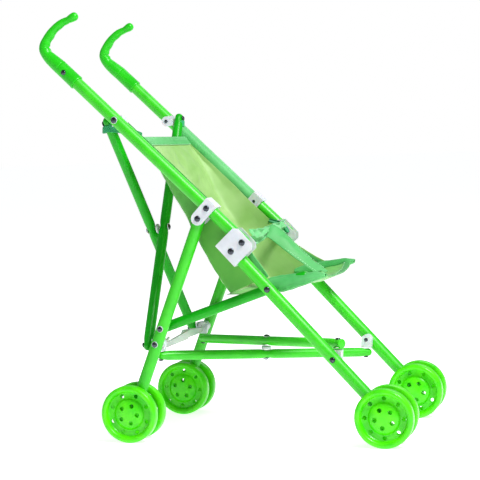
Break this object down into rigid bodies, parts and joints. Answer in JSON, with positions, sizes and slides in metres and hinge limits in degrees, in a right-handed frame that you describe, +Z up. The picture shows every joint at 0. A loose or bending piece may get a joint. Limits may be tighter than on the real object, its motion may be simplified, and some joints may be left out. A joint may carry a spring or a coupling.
{
  "type": "doll stroller",
  "caption": "Folding umbrella stroller for a doll: green tube frame, crossed tubes behind and under a sling seat, hooked grips and four pairs of wheels.",
  "frame": {"origin": "on the floor, under the middle of the stroller's outer box", "axes": "+X forward, +Y to the doll's left, +Z up"},
  "size_m": [0.4822, 0.2602, 0.5583],
  "materials": {
    "tube": "gloss enamel",
    "cross_tube": "gloss enamel",
    "grip": "gloss",
    "wheel": "gloss",
    "clip": "satin",
    "rivet": "domed, dulled",
    "cloth": "thin nylon",
    "strap": "thin nylon, bunched"
  },
  "bodies": {
    "crossing": {"back_crossing_pin": "rivet"},
    "rear_back_tube": {"back_cross_tube_rear": "cross_tube"},
    "front_back_tube": {"back_cross_tube_front": "cross_tube"},
    "low_bottom_tube": {"bottom_cross_tube_low": "tube", "bottom_crossing_pin": "rivet"},
    "high_bottom_tube": {"bottom_cross_tube_high": "tube"},
    "right_top_swivel": {"right_top_connector": "clip"},
    "right_handle": {"right_handle_tube": "tube", "right_grip": "grip", "right_rear_leg_bracket": "clip", "right_bracket_rivet": "rivet", "right_rear_leg_rivet": "rivet", "right_wing_cloth": "cloth", "seat_back_cloth": "cloth", "waist_belt": "strap"},
    "right_front_leg_frame": {"right_front_leg": "tube", "right_hinge_block": "clip", "right_hinge_rivet": "rivet", "right_hinge_block_rivet": "rivet", "right_rail_rivet": "rivet"},
    "right_rear_leg_frame": {"right_rear_leg": "tube"},
    "right_rail": {"right_seat_rail": "tube", "seat_base_cloth": "cloth", "crotch_strap": "strap"},
    "right_back_swivel": {"right_back_connector": "clip"},
    "right_rear_foot_swivel": {"right_rear_foot_connector": "clip"},
    "right_front_swivel": {"right_front_connector": "clip"},
    "right_brace_half": {"right_brace": "clip"},
    "right_front_wheels": {"right_front_outer_wheel": "wheel", "right_front_inner_wheel": "wheel", "right_front_axle": "rivet"},
    "right_rear_wheels": {"right_rear_outer_wheel": "wheel", "right_rear_inner_wheel": "wheel", "right_rear_axle": "rivet"},
    "left_top_swivel": {"left_top_connector": "clip"},
    "left_handle": {"left_handle_tube": "tube", "left_grip": "grip", "left_rear_leg_bracket": "clip", "left_bracket_rivet": "rivet", "left_rear_leg_rivet": "rivet", "left_wing_cloth": "cloth"},
    "left_front_leg_frame": {"left_front_leg": "tube", "left_hinge_block": "clip", "left_hinge_rivet": "rivet", "left_hinge_block_rivet": "rivet", "left_rail_rivet": "rivet"},
    "left_rear_leg_frame": {"left_rear_leg": "tube"},
    "left_rail": {"left_seat_rail": "tube"},
    "left_back_swivel": {"left_back_connector": "clip"},
    "left_rear_foot_swivel": {"left_rear_foot_connector": "clip"},
    "left_front_swivel": {"left_front_connector": "clip"},
    "left_brace_half": {"left_brace": "clip"},
    "left_front_wheels": {"left_front_outer_wheel": "wheel", "left_front_inner_wheel": "wheel", "left_front_axle": "rivet"},
    "left_rear_wheels": {"left_rear_outer_wheel": "wheel", "left_rear_inner_wheel": "wheel", "left_rear_axle": "rivet"}
  },
  "joints": [
    {"name": "fold", "type": "hinge", "parent": "crossing", "child": "rear_back_tube", "pos_m": [-0.11665, 0, 0.27075], "axis": [-0.9888, 0, -0.1492], "range_deg": [0, 24.5], "deforming": ["seat_back_cloth", "seat_base_cloth", "right_wing_cloth", "left_wing_cloth", "waist_belt", "crotch_strap"]},
    {"name": "front_back_tube_turn", "type": "hinge", "parent": "crossing", "child": "front_back_tube", "pos_m": [-0.11665, 0, 0.27075], "axis": [0.9888, 0, 0.1492], "range_deg": [0, 24.5]},
    {"name": "right_top_swivel_turn", "type": "hinge", "parent": "rear_back_tube", "child": "right_top_swivel", "pos_m": [-0.1385, -0.09093, 0.4156], "axis": [0.9888, 0, 0.1492], "range_deg": [0, 24.5]},
    {"name": "right_handle_tilt", "type": "hinge", "parent": "right_top_swivel", "child": "right_handle", "pos_m": [-0.1385, -0.106, 0.4156], "axis": [0, -1, 0], "range_deg": [-30.46, 0]},
    {"name": "right_rear_leg_swing", "type": "hinge", "parent": "right_handle", "child": "right_rear_leg_frame", "pos_m": [-0.0298, -0.106, 0.2868], "axis": [0, -1, 0], "range_deg": [0, 59.95]},
    {"name": "right_front_leg_swing", "type": "hinge", "parent": "right_handle", "child": "right_front_leg_frame", "pos_m": [0.0276, -0.106, 0.2556], "axis": [0, -1, 0], "range_deg": [0, 135]},
    {"name": "right_rail_swing", "type": "hinge", "parent": "right_rear_leg_frame", "child": "right_rail", "pos_m": [-0.0868, -0.106, 0.146], "axis": [0, -1, 0], "range_deg": [0, 16.67]},
    {"name": "right_back_swivel_tilt", "type": "hinge", "parent": "right_rear_leg_frame", "child": "right_back_swivel", "pos_m": [-0.0948, -0.106, 0.1259], "axis": [0, -1, 0], "range_deg": [-29.49, 0]},
    {"name": "right_rear_foot_tilt", "type": "hinge", "parent": "right_rear_leg_frame", "child": "right_rear_foot_swivel", "pos_m": [-0.0948, -0.106, 0.1259], "axis": [0, -1, 0], "range_deg": [0, 39.2]},
    {"name": "left_top_swivel_turn", "type": "hinge", "parent": "front_back_tube", "child": "left_top_swivel", "pos_m": [-0.1385, 0.09093, 0.4156], "axis": [0.9888, 0, 0.1492], "range_deg": [-24.5, 0]},
    {"name": "left_handle_tilt", "type": "hinge", "parent": "left_top_swivel", "child": "left_handle", "pos_m": [-0.1385, 0.106, 0.4156], "axis": [0, -1, 0], "range_deg": [-30.46, 0]},
    {"name": "left_rear_leg_swing", "type": "hinge", "parent": "left_handle", "child": "left_rear_leg_frame", "pos_m": [-0.0298, 0.106, 0.2868], "axis": [0, -1, 0], "range_deg": [0, 59.95]},
    {"name": "left_front_leg_swing", "type": "hinge", "parent": "left_handle", "child": "left_front_leg_frame", "pos_m": [0.0276, 0.106, 0.2556], "axis": [0, -1, 0], "range_deg": [0, 135]},
    {"name": "left_rail_swing", "type": "hinge", "parent": "left_rear_leg_frame", "child": "left_rail", "pos_m": [-0.0868, 0.106, 0.146], "axis": [0, -1, 0], "range_deg": [0, 16.67]},
    {"name": "left_back_swivel_tilt", "type": "hinge", "parent": "left_rear_leg_frame", "child": "left_back_swivel", "pos_m": [-0.0948, 0.106, 0.1259], "axis": [0, -1, 0], "range_deg": [-29.49, 0]},
    {"name": "left_rear_foot_tilt", "type": "hinge", "parent": "left_rear_leg_frame", "child": "left_rear_foot_swivel", "pos_m": [-0.0948, 0.106, 0.1259], "axis": [0, -1, 0], "range_deg": [0, 39.2]},
    {"name": "low_bottom_tube_turn", "type": "hinge", "parent": "right_rear_foot_swivel", "child": "low_bottom_tube", "pos_m": [-0.0948, -0.08738, 0.1259], "axis": [0.0788, 0, 0.9969], "range_deg": [-29.43, 0]},
    {"name": "left_front_swivel_turn", "type": "hinge", "parent": "low_bottom_tube", "child": "left_front_swivel", "pos_m": [0.1391, 0.08738, 0.1074], "axis": [0.0788, 0, 0.9969], "range_deg": [0, 29.43]},
    {"name": "high_bottom_tube_turn", "type": "hinge", "parent": "left_rear_foot_swivel", "child": "high_bottom_tube", "pos_m": [-0.0948, 0.08738, 0.1259], "axis": [0.0788, 0, 0.9969], "range_deg": [0, 29.43]},
    {"name": "right_front_swivel_turn", "type": "hinge", "parent": "high_bottom_tube", "child": "right_front_swivel", "pos_m": [0.1391, -0.08738, 0.1074], "axis": [0.0788, 0, 0.9969], "range_deg": [-29.43, 0]},
    {"name": "right_brace_fold", "type": "hinge", "parent": "right_rear_leg_frame", "child": "right_brace_half", "pos_m": [-0.0948, -0.075, 0.1259], "axis": [0.9285, 0, -0.3713], "range_deg": [0, 85.35]},
    {"name": "left_brace_fold", "type": "hinge", "parent": "left_rear_leg_frame", "child": "left_brace_half", "pos_m": [-0.0948, 0.075, 0.1259], "axis": [0.9285, 0, -0.3713], "range_deg": [-85.35, 0]},
    {"name": "right_front_wheel_spin", "type": "hinge", "parent": "right_front_leg_frame", "child": "right_front_wheels", "pos_m": [0.2041, -0.106, 0.037], "axis": [0, 1, 0], "continuous": true},
    {"name": "right_rear_wheel_spin", "type": "hinge", "parent": "right_rear_leg_frame", "child": "right_rear_wheels", "pos_m": [-0.1297, -0.106, 0.037], "axis": [0, 1, 0], "continuous": true},
    {"name": "left_front_wheel_spin", "type": "hinge", "parent": "left_front_leg_frame", "child": "left_front_wheels", "pos_m": [0.2041, 0.106, 0.037], "axis": [0, 1, 0], "continuous": true},
    {"name": "left_rear_wheel_spin", "type": "hinge", "parent": "left_rear_leg_frame", "child": "left_rear_wheels", "pos_m": [-0.1297, 0.106, 0.037], "axis": [0, 1, 0], "continuous": true}
  ],
  "couplings": [
    {"joint": "front_back_tube_turn", "follows": "fold", "ratio": 1},
    {"joint": "right_top_swivel_turn", "follows": "fold", "ratio": 1},
    {"joint": "right_handle_tilt", "follows": "fold", "ratio": -1.2434},
    {"joint": "right_rear_leg_swing", "follows": "fold", "ratio": 2.447},
    {"joint": "right_front_leg_swing", "follows": "fold", "ratio": 5.5109},
    {"joint": "right_rail_swing", "follows": "fold", "ratio": 0.68038},
    {"joint": "right_back_swivel_tilt", "follows": "fold", "ratio": -1.2036},
    {"joint": "right_rear_foot_tilt", "follows": "fold", "ratio": 1.6},
    {"joint": "left_top_swivel_turn", "follows": "fold", "ratio": -1},
    {"joint": "left_handle_tilt", "follows": "fold", "ratio": -1.2434},
    {"joint": "left_rear_leg_swing", "follows": "fold", "ratio": 2.447},
    {"joint": "left_front_leg_swing", "follows": "fold", "ratio": 5.5109},
    {"joint": "left_rail_swing", "follows": "fold", "ratio": 0.68038},
    {"joint": "left_back_swivel_tilt", "follows": "fold", "ratio": -1.2036},
    {"joint": "left_rear_foot_tilt", "follows": "fold", "ratio": 1.6},
    {"joint": "low_bottom_tube_turn", "follows": "fold", "ratio": -1.2015},
    {"joint": "left_front_swivel_turn", "follows": "fold", "ratio": 1.2015},
    {"joint": "high_bottom_tube_turn", "follows": "fold", "ratio": 1.2015},
    {"joint": "right_front_swivel_turn", "follows": "fold", "ratio": -1.2015},
    {"joint": "right_brace_fold", "follows": "fold", "ratio": 3.4841},
    {"joint": "left_brace_fold", "follows": "fold", "ratio": -3.4841}
  ]
}
